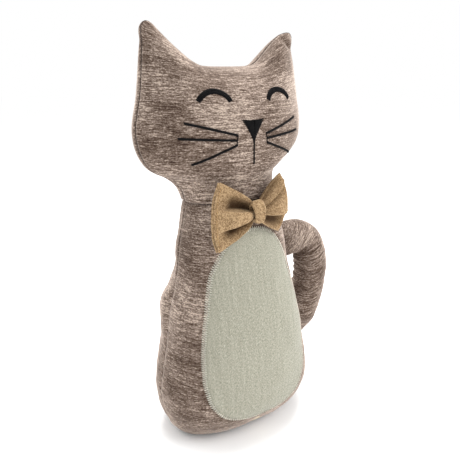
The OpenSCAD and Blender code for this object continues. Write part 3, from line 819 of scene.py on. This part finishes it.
def satin(bm, face, line, width):
    """Threads laid side by side across a line on the face; width(share) is the stroke there."""
    n = max(2, round(line.length / SATIN_PITCH))
    for k in range(n + 1):
        share = k / n
        p, d = line.at(share), line.along(share, 0.02)
        across = Vector((d.y, -d.x)) * width(share) / 2
        jitter = 1 + 0.06 * rough(k * 3.1, line.length, 0, 2)
        a, _ = face.lay(p.x - across.x * jitter, p.y - across.y * jitter, 0.15)
        m, _ = face.lay(p.x, p.y, 0.55)
        b, _ = face.lay(p.x + across.x * jitter, p.y + across.y * jitter, 0.15)
        add_stitch(bm, a, m, SATIN_THREAD * MM, 5, 4)
        add_stitch(bm, m, b, SATIN_THREAD * MM, 5, 4)


def rope(bm, face, line, width, pitch=1.1):
    """An outline stitch: short threads that overlap at a slant, like a cord."""
    n = max(2, round(line.length / pitch))
    for k in range(n):
        p, q = line.at(max(0, (k - 0.35) / n)), line.at(min(1, (k + 1.35) / n))
        d = (q - p).normalized()
        off = Vector((d.y, -d.x)) * width * 0.22
        a, _ = face.lay(p.x - off.x, p.y - off.y, 0.3)
        b, _ = face.lay(q.x + off.x, q.y + off.y, 0.4)
        add_stitch(bm, a, b, width * 0.44 * MM, 6, 4)


# The face's stitching as (x, z) places: an eye's arc, the nose's middle, top, height and half width, the
# mouth's line, and where the whiskers of each side start and end
EYE = [(19, 319.2), (20.6, 322.6), (24, 325.6), (28.5, 327.3), (33, 327.6), (38, 326.3), (42.4, 323.4),
       (45, 320)]
EYES_MIDDLE, NOSE_MIDDLE, NOSE_TOP, NOSE_TALL, NOSE_HALF = 1.2, 0.9, 304.2, 18.4, 10.9
MOUTH = [(0.9, 287), (0.8, 278), (0.9, 267.2)]
WHISKER_ROOTS = [(14.3, 292), (15, 288), (15, 284.3)]
WHISKER_ENDS = {-1: [(55.5, 303.4), (60.5, 291.4), (51.5, 270)], 1: [(55.5, 303.4), (60.5, 291.4), (49, 272)]}
NOSE_ROWS = 40


class CAT_OT_face(Operator):
    """Embroidered eyes, nose, mouth and whiskers"""
    bl_idname = "cat.face"
    bl_label = "Face"

    def execute(self, context):
        face = Surface(made["face_panel"])
        black = finish_of("black thread")
        for side, name in ((-1, "right_eye"), (1, "left_eye")):
            line = Path([(EYES_MIDDLE + side * x, z) for x, z in EYE], 2)
            bm = bmesh.new()
            satin(bm, face, line, lambda s: 4.3 - 0.4 * abs(2 * s - 1) ** 6)
            keep(finish_piece(bm, name + "_satin", black), name, "head")
        bm = bmesh.new()
        for k in range(NOSE_ROWS + 1):
            t = k / NOSE_ROWS
            z = NOSE_TOP - NOSE_TALL * t
            half = NOSE_HALF * (1 - t) ** 1.22 + 0.6
            dip = 1.1 * (1 - t)
            a, _ = face.lay(NOSE_MIDDLE - half, z + 0.3 * rough(k, 1, 0, 2), 0.2)
            m, _ = face.lay(NOSE_MIDDLE, z - dip, 0.75)
            b, _ = face.lay(NOSE_MIDDLE + half, z + 0.3 * rough(k, 2, 0, 2), 0.2)
            add_stitch(bm, a, m, SATIN_THREAD * MM, 5, 4)
            add_stitch(bm, m, b, SATIN_THREAD * MM, 5, 4)
            add_stitch(bm, a.lerp(m, 0.6), b.lerp(m, 0.6), SATIN_THREAD * MM, 5, 4)
        rope(bm, face, Path(MOUTH), 1.5)
        keep(finish_piece(bm, "nose_and_mouth_satin", black), "nose_and_mouth", "head")
        for side, name in ((-1, "right_whiskers"), (1, "left_whiskers")):
            bm = bmesh.new()
            for a, b in zip(WHISKER_ROOTS, WHISKER_ENDS[side]):
                rope(bm, face, Path([(side * a[0], a[1]), (side * b[0], b[1])]), 2.1)
            rope(bm, face, Path([(side * x, z) for x, z in WHISKER_ROOTS]), 0.9)
            keep(finish_piece(bm, name + "_stitch", black), name, "head")
        return {"FINISHED"}


TAIL_LINE = Path([(53.5, 172), (62, 175.5), (75, 178), (87, 176.5), (96, 169), (101.2, 156), (102.4, 141),
                  (101.2, 126), (97.8, 112), (93, 99), (87.5, 88), (81.5, 79), (75.6, 73)], 3)


def tail_cloth(inset=0.0, from_share=0.0):
    radius = sizes().tail / MM / 2

    def place(s, t):
        share = from_share + (1 - 2 * from_share) * t
        p, d = TAIL_LINE.at(share), TAIL_LINE.along(share, 0.012)
        n = Vector((-d.y, d.x))
        full = ease(min(share, 1 - share) / 0.15) ** 0.7
        a = 2 * math.pi * s
        wide = 19 + (radius - 19) * full - inset
        deep = 1.6 + (radius - 1.6) * full - inset * (0.3 + 0.7 * full)
        # The bend presses the cloth into folds on its inner side
        inner = max(0.0, 0.45 - math.cos(a)) / 1.45
        length = share * TAIL_LINE.length
        fold = math.sin(2 * math.pi * (length + 2.2 * rough(a * 6, 3, length * 0.3, 6)) / 8.0)
        bend = bell(share, 0.30, 0.15) + 0.45 * bell(share, 0.62, 0.2)
        ripple = -3.0 * bend * inner * (0.5 + 0.5 * fold) ** 0.8
        lumps = 0.6 * rough(math.cos(a) * 20, math.sin(a) * 20, length, 16, 2)
        r = 1 + (ripple + lumps * full) / radius
        gather = 1 + (1 - full) * 0.05 * rough(a * 9, 0, 8, 4)
        x = wide * math.cos(a) * r * gather
        return (p.x + n.x * x, deep * math.sin(a) * r, p.y + n.y * x)
    return place


class CAT_OT_tail(Operator):
    """Tail cover, its filling and its long seam"""
    bl_idname = "cat.tail"
    bl_label = "Tail"

    def execute(self, context):
        def around(place):
            # Streaks follow the courses, which run round the tail
            return lambda s, t: place((t + 0.25) % 1.0 if t < 1 else 0.25, s)
        bm = shaped_grid(150, 56, around(tail_cloth()), wrap=True)
        uv = bm.loops.layers.uv["flat"]
        for f in bm.faces:
            for loop in f.loops:
                loop[uv].uv = (loop[uv].uv.y, loop[uv].uv.x)
        face_out(bm)
        obj = finish_piece(bm, "tail_cloth", finish_of("jersey"))
        thicken(obj, sizes().cloth)
        keep(obj, "tail_cover", "tail")
        bm = shaped_grid(60, 24, around(tail_cloth(TAIL_FILL, 0.04)), wrap=True)
        close_up(bm)
        obj = finish_piece(bm, "tail_fibrefill", finish_of("fibre"))
        keep(obj, "tail_filling", "tail")
        place = tail_cloth(-0.1)
        n = round(TAIL_LINE.length * 0.86 / TAIL_PITCH)
        line = [Vector(place(0.25, 0.07 + 0.86 * k / n)) * MM for k in range(n + 1)]
        keep(stitch_run("tail_seam_stitches", line, RIM_THREAD * MM, finish_of("brown thread")),
             "tail_seam_thread", "tail")
        return {"FINISHED"}


BOW = Vector((-0.6, -51.9, 226.4))
# Half width of the part that the knot covers, and half the height of the cloth where it is pinched
PINCHED, PINCHED_HIGH = 5, 6.8
# Tables of the two wings, the cat's right one at -1. The folds run from a wing's lower to its upper edge:
# share of the flat cloth, share of the half height, and how far forward it stands.
FOLDS = {
    -1: [(-1, -1, 0.35), (-0.8, -0.80, -0.35), (-0.62, -0.50, -1.35), (-0.53, -0.42, -1.2),
         (-0.45, -0.42, 0.5), (-0.36, -0.36, 0.92), (-0.08, -0.05, 1), (0.14, 0.14, 0.95), (0.24, 0.22, 0.6),
         (0.34, 0.21, -0.7), (0.44, 0.28, -1), (0.7, 0.68, -0.45), (0.9, 0.93, 0.35), (1, 1, 0.5)],
    1: [(-1, -1, 0.2), (-0.75, -0.78, -0.5), (-0.55, -0.50, -1), (-0.44, -0.31, -0.7), (-0.36, -0.33, 0.6),
        (-0.26, -0.24, 0.95), (-0.1, -0.08, 0.5), (0.1, 0.1, -0.1), (0.34, 0.36, -0.6), (0.45, 0.5, -0.35),
        (0.52, 0.55, 0.8), (0.57, 0.58, 1), (0.62, 0.61, 0.8), (0.7, 0.66, -0.2), (0.85, 0.84, -0.5),
        (1, 1, -0.3)]}
# A wing's reach: its least share of the half width, its bulge, and where up the wing it bulges most
WING = {-1: (0.92, 0.13, -0.25), 1: (0.69, 0.24, 0.05)}
# How deep the folds are from the knot out to the wing's edge
HOW_DEEP = {-1: [(0, 3.8), (0.22, 7.4), (0.48, 7.0), (0.72, 3.0), (1, 0.3)],
            1: [(0, 3.8), (0.25, 6.4), (0.55, 6.8), (0.85, 4.6), (1, 1.3)]}
# Half heights above and below the knot, as shares
TALL = {-1: (1.07, 1.0), 1: (1.02, 0.84)}


def bow_cloth(layer):
    """One layer of the bow, 1 the front one: its places, and how much painted shade each gets down in a fold.
    s runs across from the cat's right wing, t up."""
    half_w, half_h = sizes().bow_width / MM / 2, sizes().bow_height / MM / 2

    def fold_at(s, t):
        u, v = 2 * s - 1, 2 * t - 1
        side = 1 if u > 0 else -1
        out = max(0.0, (abs(u) * half_w - PINCHED) / (half_w - PINCHED))
        # The left wing's ridge climbs to its top corner
        at = v ** (1 + 1.1 * out) if side > 0 and v > 0 else v
        share, front = (through([(k[0], k[n]) for k in FOLDS[side]], at) for n in (1, 2))
        # The folds open out towards the wing's edge
        share = v + (share - at) * max(0, 1 - out ** 2) * (1 if layer else 0.3)
        return u, v, side, out, share, front, through(HOW_DEEP[side], out)

    def place(s, t):
        u, v, side, out, share, front, deep = fold_at(s, t)
        least, bulge, middle = WING[side]
        reach = half_w * (least + bulge * (1 - (v - middle) ** 2))
        high = PINCHED_HIGH + (half_h * TALL[side][0 if v > 0 else 1] - PINCHED_HIGH) * out ** 0.75
        x = u * (reach + (0 if layer else 1.5 * out))
        z = high * share + side * 0.8 * out
        y = -(deep * (1 if layer else 0.72)) * front + 0.7 * out * rough(x, 4 + 9 * layer, z, 16, 2)
        # The wings bend back round the neck, and the lower corner of the right one hangs free
        y += (2.0 if side < 0 else 6.6) * out ** 1.6 - (3.0 * out * max(0, -v) if side < 0 else 0)
        y -= 1.6 * math.sin(math.pi * min(1, out)) * (1 - v * v)
        if not layer:
            y += 1.2 + 0.2 * deep
        return (BOW.x + x, BOW.y + y, BOW.z + z)

    # Painted shade in the folds: darkest where the cloth lies back and the fold is deep
    def painted_fold_shade(s, t):
        *_, front, deep = fold_at(s, t)
        return 0.9 * ease(0.12 - front) ** 0.8 * min(1, deep / 6.5) ** 1.5
    return place, painted_fold_shade


class CAT_OT_bow(Operator):
    """Bow tie: two layers, top-stitching and knot"""
    bl_idname = "cat.bow"
    bl_label = "Bow tie"

    def execute(self, context):
        tan = finish_of("suedette")
        for layer, node, flat, area in ((1, "bow_front_layer", (0.090, 0.062), 0.0052),
                                        (0, "bow_back_layer", (0.084, 0.057), 0.0045)):
            place, painted_fold_shade = bow_cloth(layer)
            # Each point keeps its painted fold shade as its fold weight
            obj = finish_piece(shaped_grid(112, 84, place, fold=painted_fold_shade), node + "_cloth", tan)
            thicken(obj, SUEDETTE * MM)
            keep(obj, node, "bow")
        place = bow_cloth(1)[0]
        bm = bmesh.new()
        for s in (0.03, 0.97):
            spots = [Vector(place(s, 0.04 + 0.92 * k / 22)) * MM - Vector((0, 0.35 * MM, 0))
                     for k in range(23)]
            add_stitches(bm, spots, TOP_THREAD * MM, 0.28)
        keep(finish_piece(bm, "bow_topstitches", finish_of("tan thread")),
             "bow_topstitching", "bow")

        def knot(s, t):
            a = 2 * math.pi * t
            w = 2 * s - 1
            waist = 1 - 0.34 * abs(w) ** 5 + 0.05 * (1 - w * w)
            crease = 0.45 * math.sin(w * 8 + 1.2 * math.sin(a)) * max(0, math.cos(a))
            x = w * (5.9 + 0.8 * math.sin(a) + 0.4 * rough(a * 5, 0, 0, 3)) - 0.6 * math.sin(a)
            y = -5.8 * math.cos(a) * waist + crease
            z = 10.0 * math.sin(a) * waist * (1 + 0.05 * w)
            return (BOW.x - 1.6 + x, BOW.y - 3.6 + y, BOW.z + 1.4 + z)
        bm = shaped_grid(26, 56, knot, wrap=True)
        face_out(bm)
        obj = finish_piece(bm, "bow_knot_cloth", tan)
        thicken(obj, KNOT_CLOTH * MM)
        keep(obj, "bow_knot", "bow")
        return {"FINISHED"}


class CAT_OT_inside(Operator):
    """Finishes of the CAD parts that stay: the pouch, the gravel and the bow's shank"""
    bl_idname = "cat.inside"
    bl_label = "Inside"

    def execute(self, context):
        for node, name in (("weight_pouch", "calico"), ("weight_granules", "gravel"),
                           ("bow_shank", "tan thread")):
            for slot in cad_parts[node].material_slots:
                slot.material = finish_of(name)
        return {"FINISHED"}


# Lights: name, place in metres, width in metres, watts
LIGHTS = (("key", (0.9, -1.15, 1.3), 0.8, 15.5), ("rim", (-0.9, 1.1, 1.0), 1.0, 5.0),
          ("top", (0.25, 0.3, 1.6), 0.9, 29.0))
LIGHTS_AIM = Vector((0, 0, 0.2))
# Camera: its place in metres, its turn to the right, down and round in degrees, its lens in millimetres
CAMERA_AT, CAMERA_TURN, CAMERA_LENS = (-0.2234, -0.387, 0.3288), (30.22, 16.33, -1.67), 37.63
FLOOR_SIZE, FLOOR_Z = 40, -0.0004


class CAT_OT_stage(Operator):
    """Floor, lights and camera"""
    bl_idname = "cat.stage"
    bl_label = "Stage"

    def execute(self, context):
        material, tree = new_material("Pale matt floor")
        end_material(tree, add(tree, "ShaderNodeBsdfPrincipled", {
            "Base Color": linear("#FFFFFF"), "Roughness": 1.0, "Specular IOR Level": 0.0}))
        bm = bmesh.new()
        bmesh.ops.create_grid(bm, x_segments=1, y_segments=1, size=FLOOR_SIZE)
        bmesh.ops.translate(bm, verts=bm.verts, vec=(0, 0, FLOOR_Z))
        finish_piece(bm, "floor", material, smooth=False)
        world = bpy.data.worlds.new("Soft white room")
        context.scene.world = world
        world.use_nodes = True
        world.node_tree.nodes["Background"].inputs["Color"].default_value = linear("#FFFFFF")
        world.node_tree.nodes["Background"].inputs["Strength"].default_value = 1.0
        for name, place, size, power in LIGHTS:
            light = bpy.data.lights.new(name, "AREA")
            light.shape, light.size, light.energy = "SQUARE", size, power
            obj = bpy.data.objects.new(name, light)
            obj.location = place
            obj.rotation_euler = (LIGHTS_AIM - Vector(place)).to_track_quat("-Z", "Y").to_euler()
            context.scene.collection.objects.link(obj)
        camera = bpy.data.cameras.new("camera")
        camera.sensor_width, camera.lens = 36.0, CAMERA_LENS
        obj = bpy.data.objects.new("camera", camera)
        yaw, pitch, roll = (math.radians(a) for a in CAMERA_TURN)
        forward = Vector((math.sin(yaw) * math.cos(pitch), math.cos(yaw) * math.cos(pitch), -math.sin(pitch)))
        right = Vector((math.cos(yaw), -math.sin(yaw), 0))
        up = right.cross(forward)
        right, up = right * math.cos(roll) + up * math.sin(roll), up * math.cos(roll) - right * math.sin(roll)
        turn = Matrix((right, up, -forward)).transposed()
        obj.matrix_world = Matrix.Translation(CAMERA_AT) @ turn.to_4x4()
        context.scene.collection.objects.link(obj)
        context.scene.camera = obj
        context.scene.view_settings.view_transform = "Standard"
        return {"FINISHED"}


STEPS = (CAT_OT_body, CAT_OT_head, CAT_OT_base, CAT_OT_seams, CAT_OT_patch, CAT_OT_face, CAT_OT_tail,
         CAT_OT_bow, CAT_OT_inside, CAT_OT_stage)


class CAT_PT_sidebar(Panel):
    """Sizes, colours and steps of the cat"""
    bl_idname = "CAT_PT_sidebar"
    bl_label = "Stuffed cat"
    bl_space_type = "VIEW_3D"
    bl_region_type = "UI"
    bl_category = "Stuffed cat"

    def draw(self, context):
        for group in (context.scene.cat_sizes, context.scene.cat_colours):
            for key in group.__annotations__:
                self.layout.prop(group, key)
        for step in STEPS:
            self.layout.operator(step.bl_idname)


CLASSES = (CatSizes, CatColours, *STEPS, CAT_PT_sidebar)


def register():
    for cls in CLASSES:
        bpy.utils.register_class(cls)
    bpy.types.Scene.cat_sizes = PointerProperty(type=CatSizes)
    bpy.types.Scene.cat_colours = PointerProperty(type=CatColours)


def unregister():
    del bpy.types.Scene.cat_colours
    del bpy.types.Scene.cat_sizes
    for cls in reversed(CLASSES):
        bpy.utils.unregister_class(cls)


def main():
    register()
    for step in STEPS:
        group, name = step.bl_idname.split(".")
        getattr(getattr(bpy.ops, group), name)()


if __name__ == "__main__":
    main()
